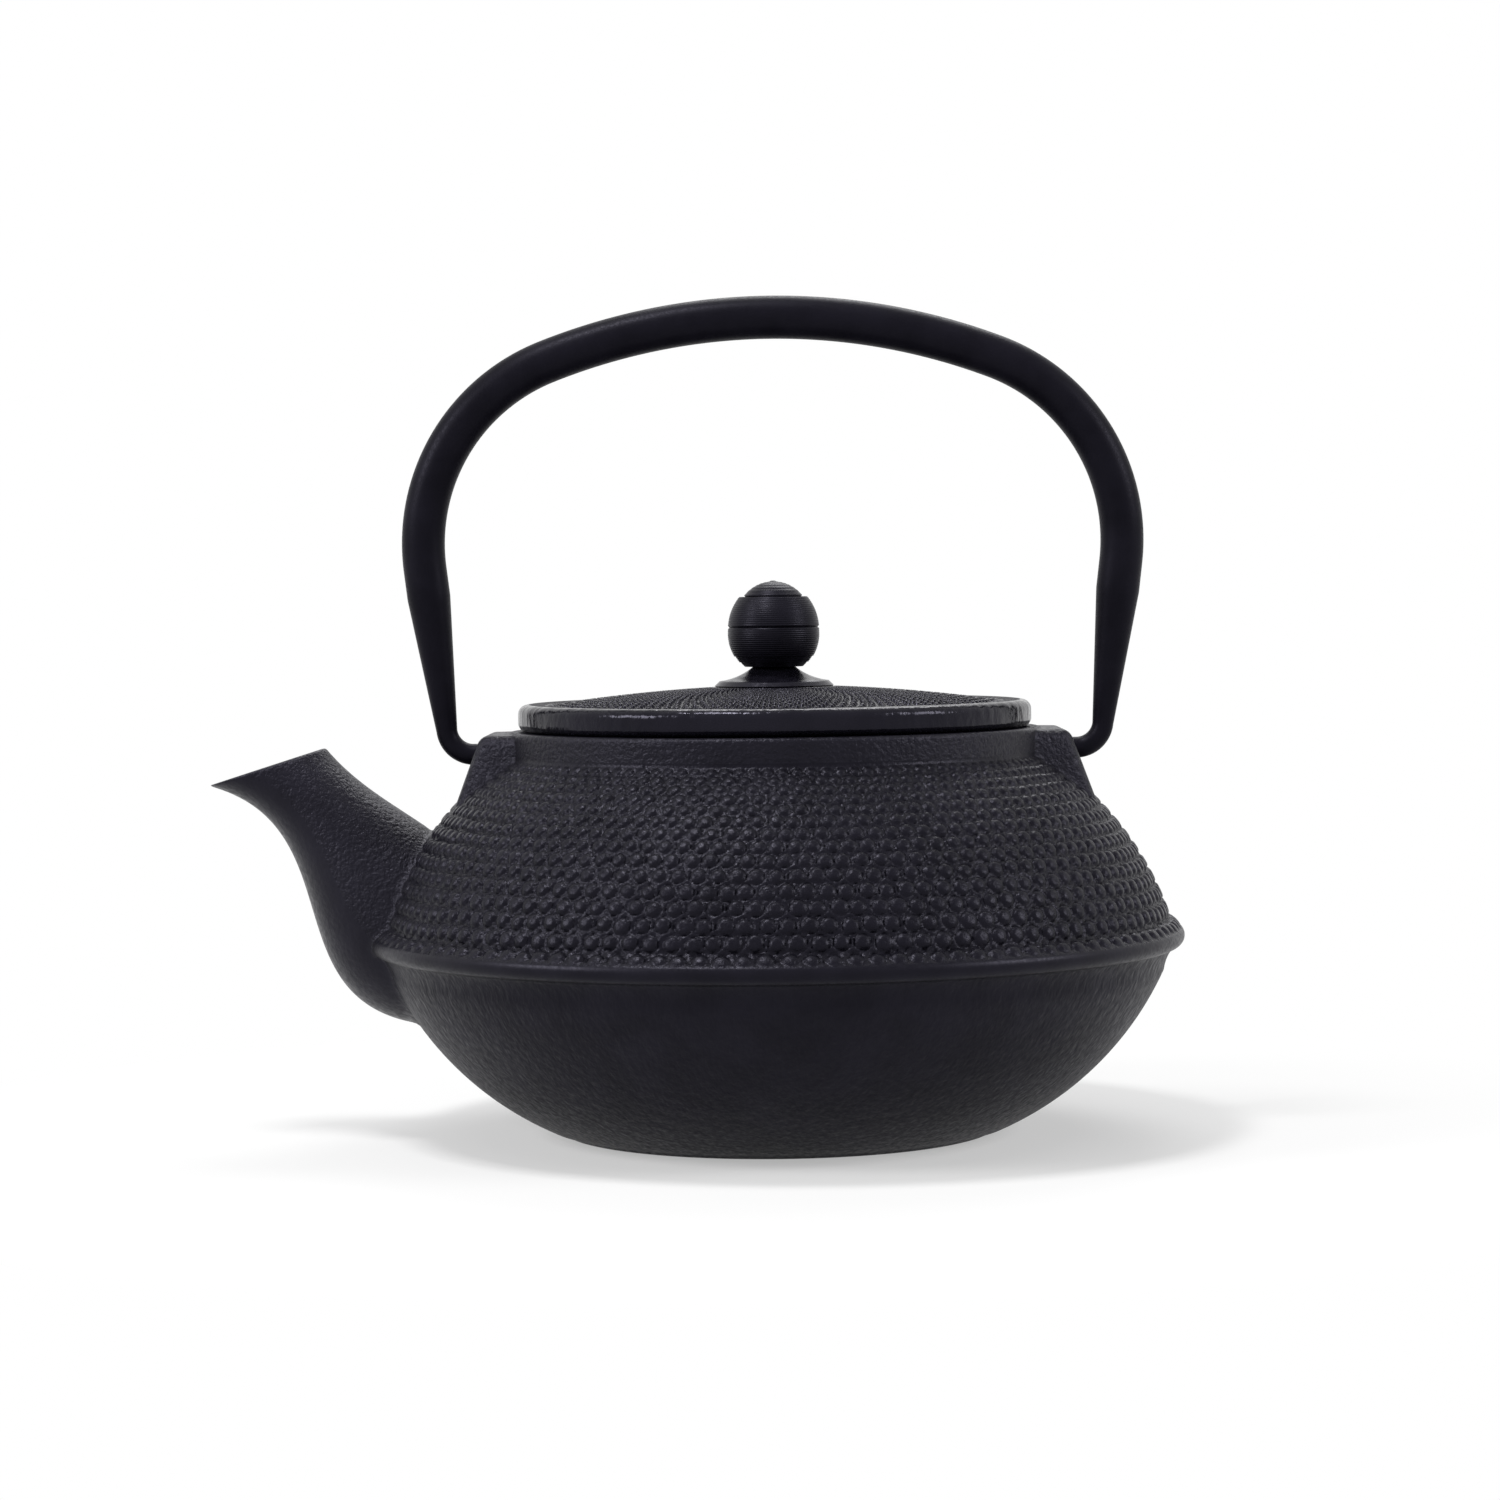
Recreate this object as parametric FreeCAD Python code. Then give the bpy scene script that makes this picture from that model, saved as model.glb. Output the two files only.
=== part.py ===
import FreeCAD, Part
import math
import os

from FreeCAD import Vector

# Cast iron teapot with a swinging bail, a knobbed lid and a steel tea strainer.
# Frame: origin at the middle of the base on the table, +Z up, spout towards -X.
# All sizes are in millimetres, angles in degrees.

# Mouth of the pot, from the throat outwards
throat_radius = 47.8
ledge_width = 2.4
neck_wall = 4.3
ledge_depth = 2.2
neck_edge_round = 0.8

# Casting: bowl, rib, shoulder and neck
pot_height = 82.5
base_radius = 44.0
bowl_top_inset = 4.3
bowl_top_drop = 6.9
bowl_bulge = 4.7
rib_radius = 83.3
rib_height = 39.9
rib_thickness = 4.4
rib_flare = 0.35
rib_top_turn = 35
shoulder_inset = 2.3
foot_row_height = 3.6
foot_row_bulge = 0.25
shoulder_bulge = 3.9
nail_rows = 14
nail_depth_share = 0.0055
neck_band = 5.5
wall = 3.6
floor = 4.5

# Ears that carry the bail
ear_drop = 0.4
ear_depth = 18.0
ear_top_reach = 5.1
ear_foot_reach = 11.8
ear_root_half_width = 17.5
ear_face_half_width = 12.0
ear_round = 2.0
pivot_drop = 4.6
ear_bore_depth = 6.4

# Spout: four ovals that guide its form, each from an underside point to an upper point.
# The points are measured outwards and upwards from the edge of the rib.
spout_root_under_out = -19.3
spout_root_under_up = -17.8
spout_root_over_out = -21.3
spout_root_over_up = 15.1
spout_root_half_width = 20.0
spout_belly_under_out = 24.9
spout_belly_under_up = -18.8
spout_belly_over_out = -11.1
spout_belly_over_up = 25.3
spout_belly_half_width = 16.5
spout_waist_under_out = 0.1
spout_waist_under_up = 23.1
spout_waist_over_out = 0.6
spout_waist_over_up = 29.1
spout_waist_half_width = 12.0
spout_tip_out = 33.0
spout_tip_up = 32.2
spout_lip_out = 9.0
spout_lip_up = 39.7
spout_mouth_half_width = 9.5
spout_wall = 3.0

# Bail: a steel tube with drawn-down ends hooked into the ears
pin_diameter = 4.4
pin_clearance = 0.3
pin_engagement = 6.4
tube_diameter = 8.9
tube_wall = 1.2
pin_bore_diameter = 1.6
hook_radius = 5.5
hook_stand_off = 0.6
leg_lean = 6.8
leg_length = 33.4
taper_length = 27.5
corner_radius = 40.0
crown_radius = 127.6

# Lid
lid_overlap = 2.3
lid_rim_height = 5.5
lid_edge_round = 1.9
lid_undercut = 1.5
lid_crown = 3.1
lid_bulge = 0.35
lid_border = 5.6
lid_nail_rows = 27
lid_nail_depth_share = 0.011
lid_plate = 3.4
lid_pad_radius = 12.6
lid_pad_boss_radius = 9.0
skirt_gap = 1.2
skirt_thickness = 2.5
skirt_depth = 6.0

# Knob stack, from the lid upwards
seat_overhang = 0.4
seat_edge = 1.2
seat_chamfer = 1.0
seat_height = 4.1
seat_neck_radius = 4.3
seat_hollow = 0.55
ball_foot_radius = 6.4
ball_radius = 9.35
ball_low_height = 8.05
ball_low_bulge = 1.0
ball_high_height = 6.25
ball_top_radius = 7.0
ball_groove = 0.5
cap_inset = 1.1
cap_edge = 0.5
cap_height = 3.3

# Through bolt with its washer and nut under the lid
bolt_diameter = 4.0
bolt_clearance = 0.15
bolt_end = 1.4
washer_radius = 5.5
washer_thickness = 0.9
nut_across_flats = 7.0
nut_sides = 6
nut_height = 3.2

# Tea strainer
strainer_clearance = 0.4
strainer_gap = 2.0
strainer_depth = 46.0
strainer_sheet = 0.5
collar_clearance = 0.1
collar_sheet = 0.6
collar_height = 4.0
flange_thickness = 0.8
wall_hole_diameter = 2.2
wall_hole_rows = 7
wall_holes_per_row = 36
wall_hole_margin = 4.5
base_hole_diameter = 2.0
base_hole_rings = 6
base_holes_added_per_ring = 6
base_hole_margin = 5.0

# Sizes that follow from the ones above
ledge_radius = throat_radius + ledge_width
neck_radius = ledge_radius + neck_wall
ledge_height = pot_height - ledge_depth
shoulder_top = pot_height - neck_band
rib_round = rib_thickness / 2
pivot_height = pot_height - pivot_drop
pin_radius = pin_diameter / 2
tube_radius = tube_diameter / 2
lid_radius = ledge_radius + lid_overlap
lid_rim_top = pot_height + lid_rim_height
lid_top = lid_rim_top + lid_crown
seat_radius = lid_pad_radius - seat_overhang
ball_foot = lid_top + seat_height
ball_middle = ball_foot + ball_low_height
ball_top = ball_middle + ball_high_height
cap_radius = ball_top_radius - cap_inset
bolt_radius = bolt_diameter / 2
bolt_hole_radius = bolt_radius + bolt_clearance
pad_underside = lid_top - lid_plate
sleeve_radius = throat_radius - strainer_gap
sleeve_bore_radius = sleeve_radius - strainer_sheet
skirt_radius = sleeve_bore_radius - skirt_gap
flange_top = ledge_height + flange_thickness
strainer_bottom = ledge_height - strainer_depth

up = Vector(0, 0, 1)
out = Vector(1, 0, 0)
origin = Vector(0, 0, 0)
meeting_tolerance = 1e-7


def at(radius, height):
    """Point of an outline, in the plane through the pot's axis and the spout."""
    return Vector(radius, 0, height)


def arc_about(centre, radius, start, end):
    """Arc in that plane about a centre, with angles from +X towards +Z."""
    angles = [math.radians(a) for a in (start, (start + end) / 2, end)]
    return Part.ArcOfCircle(*[centre + at(radius * math.cos(a), radius * math.sin(a)) for a in angles])


def bulged(start, end, bulge):
    """Arc between two points that stands out by the bulge, to the right of its direction."""
    along = (end - start).normalize()
    return Part.ArcOfCircle(start, (start + end) / 2 + at(along.z, -along.x) * bulge, end)


def outline(*steps):
    """Closed wire through points and arcs, with straight lines where they don't meet."""
    ends = [(s, s) if isinstance(s, Vector) else (s.StartPoint, s.EndPoint) for s in steps]
    edges = []
    for i, step in enumerate(steps):
        if not isinstance(step, Vector):
            edges.append(step.toShape())
        here = ends[i][1]
        there = ends[(i + 1) % len(steps)][0]
        if (there - here).Length > meeting_tolerance:
            edges.append(Part.LineSegment(here, there).toShape())
    return Part.Wire(edges)


def turned(*steps):
    """Solid made by turning a closed outline about the pot's axis."""
    return Part.Face(outline(*steps)).revolve(origin, up, 360)


def height_on(arc, inset, radius):
    """Height where the upper half of an arc's circle, moved in by the inset, has this radius."""
    return arc.Center.z + math.sqrt((arc.Radius - inset) ** 2 - (radius - arc.Center.x) ** 2)


def radius_on(arc, inset, height):
    """Radius where the outer half of an arc's circle, moved in by the inset, has this height."""
    return arc.Center.x + math.sqrt((arc.Radius - inset) ** 2 - (height - arc.Center.z) ** 2)


def outer_meeting(first, second, inset):
    """Outer point where the circles of two arcs cross, both moved in by the inset."""
    between = second.Center - first.Center
    near = first.Radius - inset
    far = second.Radius - inset
    along = (near ** 2 - far ** 2 + between.Length ** 2) / (2 * between.Length)
    across = math.sqrt(near ** 2 - along ** 2)
    step = between.normalize()
    foot = first.Center + step * along
    sides = [foot + at(step.z, -step.x) * side for side in (across, -across)]
    return max(sides, key=lambda point: point.x)


def arc_between(arc, inset, start, end):
    """Stretch of an arc's circle, moved in by the inset, between two of its points."""
    middle = ((start - arc.Center).normalize() + (end - arc.Center).normalize()).normalize()
    return Part.ArcOfCircle(start, arc.Center + middle * (arc.Radius - inset), end)


bowl_arc = bulged(at(base_radius, 0), at(rib_radius - bowl_top_inset, rib_height - bowl_top_drop),
                  bowl_bulge)
shoulder_arc = bulged(at(rib_radius - shoulder_inset, rib_height + rib_round),
                      at(neck_radius, shoulder_top), shoulder_bulge)


def on_arc(arc, angle, depth):
    """Point of an arc's circle at an angle, moved in by a depth."""
    reach = arc.Radius - depth
    return arc.Center + at(reach * math.cos(angle), reach * math.sin(angle))


def nail_row_ridges(arc, start, end, rows, depth_share):
    """Rows of hobnails as low rounded ridges between two points of an arc, sized by their radius."""
    first, last = [math.atan2(point.z - arc.Center.z, point.x - arc.Center.x) for point in (start, end)]
    narrowing = (end.x / start.x) ** (1 / rows)
    widths = [narrowing ** row for row in range(rows)]
    angles = [first + (last - first) * sum(widths[:row]) / sum(widths) for row in range(rows + 1)]
    depths = [depth_share * on_arc(arc, angle, 0).x for angle in angles]
    valleys = [on_arc(arc, angle, depth) for angle, depth in zip(angles, depths)]
    valleys[0] = start
    valleys[-1] = end
    crests = [on_arc(arc, (low + high) / 2, 0) for low, high in zip(angles, angles[1:])]
    return [Part.ArcOfCircle(*points) for points in zip(valleys, crests, valleys[1:])]


def pot_outside():
    """Bowl, rib, ridged shoulder down to the rib, and neck as one turned block."""
    rib_middle = at(rib_radius - rib_round, rib_height)
    rib = arc_about(rib_middle, rib_round, -90, rib_top_turn)
    row_top = rib_height + foot_row_height
    shoulder_foot = at(radius_on(shoulder_arc, 0, row_top), row_top)
    neck_edge = at(neck_radius - neck_edge_round, pot_height - neck_edge_round)
    return turned(
        origin,
        bowl_arc,
        bulged(bowl_arc.EndPoint, rib.StartPoint, -rib_flare),
        rib,
        bulged(rib.EndPoint, shoulder_foot, foot_row_bulge),
        *nail_row_ridges(shoulder_arc, shoulder_foot, shoulder_arc.EndPoint, nail_rows, nail_depth_share),
        arc_about(neck_edge, neck_edge_round, 0, 90),
        at(0, pot_height))


def pot_hollow():
    """Inside of the pot, open at the mouth with a ledge for the strainer."""
    floor_edge = at(radius_on(bowl_arc, wall, floor), floor)
    widest = outer_meeting(bowl_arc, shoulder_arc, wall)
    throat_foot = at(throat_radius, height_on(shoulder_arc, wall, throat_radius))
    mouth_height = pot_height + ledge_depth
    return turned(
        at(0, floor),
        arc_between(bowl_arc, wall, floor_edge, widest),
        arc_between(shoulder_arc, wall, widest, throat_foot),
        at(throat_radius, ledge_height),
        at(ledge_radius, ledge_height),
        at(ledge_radius, mouth_height),
        at(0, mouth_height))


def spout_point(outwards, upwards):
    """Point in the spout's middle plane, measured from the edge of the rib."""
    return at(-rib_radius - outwards, rib_height + upwards)


spout_ovals = [
    (spout_point(spout_root_under_out, spout_root_under_up),
     spout_point(spout_root_over_out, spout_root_over_up), spout_root_half_width),
    (spout_point(spout_belly_under_out, spout_belly_under_up),
     spout_point(spout_belly_over_out, spout_belly_over_up), spout_belly_half_width),
    (spout_point(spout_waist_under_out, spout_waist_under_up),
     spout_point(spout_waist_over_out, spout_waist_over_up), spout_waist_half_width),
    (spout_point(spout_tip_out, spout_tip_up),
     spout_point(spout_lip_out, spout_lip_up), spout_mouth_half_width)]
# Control square of a circle, as steps across and along the oval, with its weights
circle_steps = [(1, 0), (1, 1), (0, 1), (-1, 1), (-1, 0), (-1, -1), (0, -1), (1, -1), (1, 0)]
circle_weights = [1 if 0 in step else math.sqrt(0.5) for step in circle_steps]


def oval_poles(under, over, half_width, inset):
    """Control points of an oval across the spout, drawn in by the inset."""
    tall = (over - under) / 2
    tall = tall * (1 - inset / tall.Length)
    wide = Vector(0, half_width - inset, 0)
    return [(under + over) / 2 + wide * x + tall * z for x, z in circle_steps]


def spout_block(inset):
    """Spout drawn in by the inset: a smooth tube guided by the four ovals, closed at both ends."""
    rings = [oval_poles(*oval, inset) for oval in spout_ovals]
    tube = Part.BSplineSurface()
    tube.buildFromPolesMultsKnots(
        rings, [4, 4], [3, 2, 2, 2, 3], [0, 1], [0, 1, 2, 3, 4], False, False, 3, 2,
        [circle_weights] * len(rings))
    ends = [Part.Face(Part.Wire(tube.uIso(u).toShape())) for u in (0, 1)]
    shell = Part.makeShell([tube.toShape()] + ends)
    shell.sewShape()
    return Part.makeSolid(shell)


def spout_bore():
    """Channel of the spout, run out through its mouth."""
    tip, lip = spout_ovals[-1][:2]
    out_of_mouth = at(tip.z - lip.z, lip.x - tip.x).normalize()
    channel = spout_block(spout_wall)
    mouth = max(channel.Faces, key=lambda face: face.CenterOfMass.z)
    return channel.fuse(mouth.extrude(out_of_mouth * spout_wall))


def ear_face_at(height):
    """Distance of an ear's outer face from the pot's axis at a height."""
    below = pot_height - ear_drop - height
    return neck_radius + ear_top_reach + (ear_foot_reach - ear_top_reach) * below / ear_depth


def ear():
    """Lug on the +X side of the neck, with rounded outer edges and a rounded top."""
    top = pot_height - ear_drop
    foot = top - ear_depth
    levels = []
    for height in (foot, top):
        face = ear_face_at(height)
        corners = [(throat_radius, -ear_root_half_width), (face, -ear_face_half_width),
                   (face, ear_face_half_width), (throat_radius, ear_root_half_width)]
        levels.append(Part.makePolygon([Vector(x, y, height) for x, y in corners + corners[:1]]))
    block = Part.makeLoft(levels, True, True)
    rounded = [e for e in block.Edges
               if e.CenterOfMass.x > throat_radius + ear_top_reach and e.CenterOfMass.z > foot]
    return block.makeFillet(ear_round, rounded)


def ear_bore():
    """Blind hole in the +X ear for the bail's pin."""
    depth = ear_bore_depth + ear_foot_reach
    start = Vector(ear_face_at(pivot_height) - ear_bore_depth, 0, pivot_height)
    return Part.makeCylinder(pin_radius + pin_clearance, depth, start, out)


def pot_body():
    """The whole casting: pot, spout and ears, hollowed in one go."""
    ears = [ear(), ear().mirror(origin, out)]
    bores = [ear_bore(), ear_bore().mirror(origin, out)]
    casting = pot_outside().multiFuse([spout_block(0)] + ears)
    return casting.cut([pot_hollow(), spout_bore()] + bores)


def swept(edges, radius, start, direction):
    """Round bar along a chain of edges that begins at start."""
    ring = Part.Wire(Part.makeCircle(radius, start, direction))
    return Part.Wire([e.toShape() for e in edges]).makePipeShell([ring], True, False)


def mirrored(point):
    """The same point on the other side of the pot."""
    return Vector(-point.x, point.y, point.z)


def bail_bar(main_radius, end_radius, engagement):
    """Bail as a solid bar: crown, corners and legs, tapers, hooks and pins."""
    lean = math.radians(leg_lean)
    along = at(math.sin(lean), math.cos(lean))
    side = at(math.cos(lean), -math.sin(lean))
    hook_end = at(ear_face_at(pivot_height) + hook_stand_off, pivot_height)
    hook_centre = hook_end + up * hook_radius
    leg_foot = hook_centre + side * hook_radius
    leg_waist = leg_foot + along * taper_length
    leg_head = leg_foot + along * leg_length
    corner_centre = leg_head - side * corner_radius
    rise = math.sqrt((crown_radius - corner_radius) ** 2 - corner_centre.x ** 2)
    crown_centre = at(0, corner_centre.z - rise)
    tangent = (corner_centre - crown_centre).normalize()
    corner_end = crown_centre + tangent * crown_radius
    corner_middle = corner_centre + (side + tangent).normalize() * corner_radius
    crown_top = crown_centre + up * crown_radius
    arch = [
        Part.LineSegment(leg_waist, leg_head),
        Part.ArcOfCircle(leg_head, corner_middle, corner_end),
        Part.ArcOfCircle(corner_end, crown_top, mirrored(corner_end)),
        Part.ArcOfCircle(mirrored(corner_end), mirrored(corner_middle), mirrored(leg_head)),
        Part.LineSegment(mirrored(leg_head), mirrored(leg_waist))]
    hook_middle = hook_centre + (side - up).normalize() * hook_radius
    hook = [
        Part.ArcOfCircle(leg_foot, hook_middle, hook_end),
        Part.LineSegment(hook_end, hook_end - out * engagement)]
    taper = Part.makeCone(end_radius, main_radius, taper_length, leg_foot, along)
    end = taper.fuse(swept(hook, end_radius, leg_foot, along))
    arch_bar = swept(arch, main_radius, leg_waist, along)
    return arch_bar.multiFuse([end, end.mirror(origin, out)]).removeSplitter()


def bail_handle():
    """Hollow bail, open at the tips of its pins."""
    bore = bail_bar(tube_radius - tube_wall, pin_bore_diameter / 2, pin_engagement + tube_wall)
    return bail_bar(tube_radius, pin_radius, pin_engagement).cut(bore)


def lid():
    """Lid with a rounded rim, a ridged shallow crown, a pad for the knob and a skirt in the strainer."""
    edge = lid_radius - lid_edge_round
    crown = bulged(at(edge, lid_rim_top), at(lid_pad_radius, lid_top), lid_bulge)
    field_edge = at(lid_radius - lid_border, height_on(crown, 0, lid_radius - lid_border))
    skirt_bore = skirt_radius - skirt_thickness
    skirt_foot = pot_height - skirt_depth
    inside = bulged(at(lid_pad_boss_radius, pad_underside),
                    at(skirt_bore, height_on(crown, lid_plate, skirt_bore)), -lid_bulge)
    return turned(
        at(bolt_hole_radius, pad_underside),
        inside,
        at(skirt_bore, skirt_foot),
        at(skirt_radius, skirt_foot),
        at(skirt_radius, pot_height),
        at(lid_radius - lid_undercut, pot_height),
        at(lid_radius, pot_height + lid_undercut),
        arc_about(at(edge, lid_rim_top - lid_edge_round), lid_edge_round, 0, 90),
        arc_between(crown, 0, crown.StartPoint, field_edge),
        *nail_row_ridges(crown, field_edge, crown.EndPoint, lid_nail_rows, lid_nail_depth_share),
        at(bolt_hole_radius, lid_top))


def knob_seat():
    """Flared washer between the lid and the ball."""
    flare_foot = at(seat_radius - seat_chamfer, lid_top + seat_edge)
    return turned(
        at(bolt_hole_radius, lid_top),
        at(seat_radius, lid_top),
        bulged(flare_foot, at(seat_neck_radius, ball_foot), -seat_hollow),
        at(bolt_hole_radius, ball_foot))


def knob_ball():
    """Turned ball with a full lower half, a groove round its middle and a flat top."""
    rim_low = ball_middle - ball_groove
    rim_high = ball_middle + ball_groove
    return turned(
        at(bolt_hole_radius, ball_foot),
        bulged(at(ball_foot_radius, ball_foot), at(ball_radius, rim_low), ball_low_bulge),
        at(ball_radius - ball_groove, ball_middle),
        bulged(at(ball_radius, rim_high), at(ball_top_radius, ball_top), ball_groove),
        at(bolt_hole_radius, ball_top))


def knob_bolt():
    """Bolt through the whole stack, with a domed cap on top of the ball."""
    cap_rise = cap_height - cap_edge
    dome_radius = (cap_radius ** 2 + cap_rise ** 2) / (2 * cap_rise)
    dome_middle = at(0, ball_top + cap_height - dome_radius)
    half_angle = math.degrees(math.asin(cap_radius / dome_radius))
    tip = pad_underside - washer_thickness - nut_height - bolt_end
    return turned(
        at(0, tip),
        at(bolt_radius, tip),
        at(bolt_radius, ball_top),
        at(cap_radius, ball_top),
        arc_about(dome_middle, dome_radius, 90 - half_angle, 90))


def lid_washer():
    """Flat washer under the lid."""
    low = pad_underside - washer_thickness
    return turned(
        at(bolt_hole_radius, low),
        at(washer_radius, low),
        at(washer_radius, pad_underside),
        at(bolt_hole_radius, pad_underside))


def lid_nut():
    """Six-sided nut that closes the stack from below."""
    low = pad_underside - washer_thickness - nut_height
    reach = nut_across_flats / 2 / math.cos(math.pi / nut_sides)
    angles = [2 * math.pi * i / nut_sides for i in range(nut_sides + 1)]
    corners = [Vector(reach * math.cos(a), reach * math.sin(a), low) for a in angles]
    block = Part.Face(Part.makePolygon(corners)).extrude(up * nut_height)
    return block.cut(Part.makeCylinder(bolt_hole_radius, nut_height, up * low))


def strainer_rim():
    """Flange on the pot's ledge, with a collar down the outside of the sleeve."""
    collar_bore = sleeve_radius + collar_clearance
    collar_radius = collar_bore + collar_sheet
    collar_foot = ledge_height - collar_height
    flange_radius = ledge_radius - strainer_clearance
    return turned(
        at(sleeve_bore_radius, ledge_height),
        at(collar_bore, ledge_height),
        at(collar_bore, collar_foot),
        at(collar_radius, collar_foot),
        at(collar_radius, ledge_height),
        at(flange_radius, ledge_height),
        at(flange_radius, flange_top),
        at(sleeve_bore_radius, flange_top))


def strainer_wall():
    """Perforated sleeve between the rim and the base."""
    foot = strainer_bottom + strainer_sheet
    low = foot + collar_height + wall_hole_margin
    pitch = (ledge_height - collar_height - wall_hole_margin - low) / (wall_hole_rows - 1)
    sleeve = turned(
        at(sleeve_bore_radius, foot),
        at(sleeve_radius, foot),
        at(sleeve_radius, ledge_height),
        at(sleeve_bore_radius, ledge_height))
    drill_start = sleeve_bore_radius - strainer_sheet
    drill_length = sleeve_radius + strainer_sheet - drill_start
    holes = []
    for row in range(wall_hole_rows):
        for column in range(wall_holes_per_row):
            angle = 2 * math.pi * (column + row % 2 / 2) / wall_holes_per_row
            ray = Vector(math.cos(angle), math.sin(angle), 0)
            start = ray * drill_start + up * (low + pitch * row)
            holes.append(Part.makeCylinder(wall_hole_diameter / 2, drill_length, start, ray))
    return sleeve.cut(Part.makeCompound(holes))


def strainer_base():
    """Perforated pan that closes the sleeve from below."""
    collar_bore = sleeve_radius + collar_clearance
    pan_radius = collar_bore + collar_sheet
    pan_floor = strainer_bottom + strainer_sheet
    pan = turned(
        at(0, strainer_bottom),
        at(pan_radius, strainer_bottom),
        at(pan_radius, pan_floor + collar_height),
        at(collar_bore, pan_floor + collar_height),
        at(collar_bore, pan_floor),
        at(0, pan_floor))
    pitch = (sleeve_bore_radius - base_hole_margin) / base_hole_rings
    holes = []
    for ring in range(base_hole_rings + 1):
        copies = max(base_holes_added_per_ring * ring, 1)
        for i in range(copies):
            angle = 2 * math.pi * i / copies
            foot = Vector(math.cos(angle), math.sin(angle), 0) * pitch * ring + up * strainer_bottom
            holes.append(Part.makeCylinder(base_hole_diameter / 2, strainer_sheet, foot))
    return pan.cut(Part.makeCompound(holes))


pieces = [pot_body, bail_handle, lid, knob_seat, knob_ball, knob_bolt, lid_washer, lid_nut,
          strainer_rim, strainer_wall, strainer_base]

os.makedirs("parts", exist_ok=True)
for piece in pieces:
    shape = piece()
    shape.exportStep("parts/" + piece.__name__ + ".step")
    box = shape.optimalBoundingBox(False)
    print(piece.__name__, shape.ShapeType, "solids", len(shape.Solids), "valid", shape.isValid(),
          "volume", round(shape.Volume), "height", round(box.ZMin, 2), round(box.ZMax, 2),
          "reach", round(box.XMin, 2), round(box.XMax, 2))
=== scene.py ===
import math

import bmesh
import bpy
import numpy as np
from mathutils import Matrix, Vector
from mathutils.bvhtree import BVHTree
from mathutils.kdtree import KDTree


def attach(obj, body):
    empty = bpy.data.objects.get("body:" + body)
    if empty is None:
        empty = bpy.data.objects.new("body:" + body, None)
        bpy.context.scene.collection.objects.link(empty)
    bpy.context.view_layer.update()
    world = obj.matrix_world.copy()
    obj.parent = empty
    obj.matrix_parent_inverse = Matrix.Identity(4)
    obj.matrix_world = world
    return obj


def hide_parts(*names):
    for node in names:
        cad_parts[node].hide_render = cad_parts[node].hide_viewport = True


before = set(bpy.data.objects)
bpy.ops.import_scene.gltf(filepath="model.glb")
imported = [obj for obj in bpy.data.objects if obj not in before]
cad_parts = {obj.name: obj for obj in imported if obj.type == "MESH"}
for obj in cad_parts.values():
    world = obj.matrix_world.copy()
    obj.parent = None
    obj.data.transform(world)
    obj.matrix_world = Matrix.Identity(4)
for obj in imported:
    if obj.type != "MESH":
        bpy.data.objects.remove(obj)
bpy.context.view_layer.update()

MM = 0.001
TAU = 2 * math.pi
rng = np.random.default_rng(7)

# Sizes of the pieces are in millimetres, angles in degrees where no radians are asked for. They follow
# those of the solids, and the widest forms end this far inside the solids' box.
box_margin = 0.05

# Casting
pot_height = 82.5
base_radius = 44.0
base_edge_run = 1.0
base_edge_rise = 0.75
base_edge_bulge = 0.2
bowl_top = (79.0, 33.0)
bowl_bulge = 4.7
rib_radius = 83.3
rib_height = 39.9
rib_round = 2.2
rib_flare = 0.35
rib_top_turn = 35
shoulder_start = (81.0, 42.1)
shoulder_bulge = 3.9
foot_row_top = 43.5
foot_row_bulge = 0.25
shoulder_top = 77.0
neck_radius = 54.5
neck_edge_round = 0.8
wall = 3.6
floor_height = 4.5
floor_edge_run = 3.0
throat_radius = 47.8
ledge_radius = 50.2
ledge_height = 80.3
pivot_height = 77.9

# Radii inside the casting at which the block's rings and the cutting tool end, and the tool's overrun
block_core = 6.0
block_top_core = 30.0
tool_core = 5.0
tool_overrun = 2.0
tool_sides = 240

# Hobnails: how many, and their sizes as a share of the radius they sit at.
# heights is a nail's section at nail_steps, from its middle outwards: dome, moat and web between nails.
nail_steps = [0, 0.45, 0.7, 0.88, 1.0, 1.12, 1.3, 1.7]
nail_unevenness = 0.16
nail_sway = 0.14
nail_edge_fade = 0.4
shoulder_nails = {
    "per_row": 124, "rows": 15, "reach": 0.0222, "rise": 0.0105, "samples": 10, "row_samples": 10,
    "heights": [1, 0.97, 0.82, 0.4, 0, 0.3, 0.55, 0.6]}
lid_nails = {
    "per_row": 118, "rows": 27, "reach": 0.0215, "rise": 0.024, "samples": 9, "row_samples": 8,
    "heights": [1, 0.8, 0.5, 0.2, 0, 0.05, 0.1, 0.1]}

# Ears
ear_top = 82.1
ear_foot = 64.1
ear_top_reach = 59.6
ear_foot_reach = 66.3
ear_root = 47.8
ear_root_half_width = 17.5
ear_face_half_width = 12.0
ear_round = 1.8
ear_plain_root = 4.0
ear_plain_foot = 1.0
ear_bore_radius = 2.5
ear_bore_depth = 6.4
ear_bore_sides = 48

# Spout: guiding ovals as (underside, upper side, half width), its wall and its places from 0 to 1
spout_ovals = [
    ((-64.0, 22.1), (-62.0, 55.0), 20.0),
    ((-108.2, 21.1), (-72.2, 65.2), 16.5),
    ((-83.4, 63.0), (-83.9, 69.0), 12.0),
    ((-116.3, 72.1), (-92.3, 79.6), 9.5)]
spout_wall = 3.0
spout_sides = 128
spout_sandy_from = -0.25
spout_lip_round = 0.5
spout_lip_from = 0.985
spout_places = np.concatenate([np.linspace(0, spout_lip_from, 72), np.linspace(0.988, 1, 6)])
channel_places = np.concatenate([np.linspace(0, spout_lip_from, 36), np.linspace(0.99, 1, 4)])

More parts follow.
